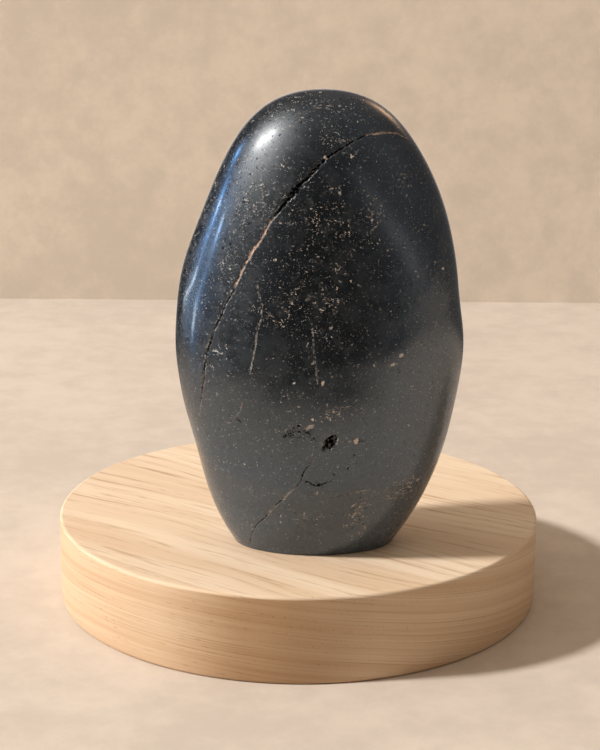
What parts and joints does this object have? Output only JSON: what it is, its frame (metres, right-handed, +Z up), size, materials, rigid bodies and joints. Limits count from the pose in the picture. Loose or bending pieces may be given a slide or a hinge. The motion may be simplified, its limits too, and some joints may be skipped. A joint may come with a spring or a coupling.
{
  "type": "polished black tourmaline on wooden stand",
  "caption": "Hand-polished black tourmaline freeform with a sawn flat foot, standing on a round pale wooden display stand.",
  "frame": {"origin": "middle of the round stand's underside, on the surface it rests on", "axes": "+Z up; the stone's cracked face looks towards -Y, and +X is to the right of a viewer in front of that face"},
  "size_m": [0.125, 0.125, 0.1344],
  "materials": {
    "tourmaline": "polished near-black stone with fine grey and brown specks, open cracks and a few pits",
    "stand_wood": "sanded pale oak with a thin matt oil finish"
  },
  "bodies": {
    "root": {"wooden_stand": "stand_wood", "tourmaline": "tourmaline"}
  },
  "joints": []
}
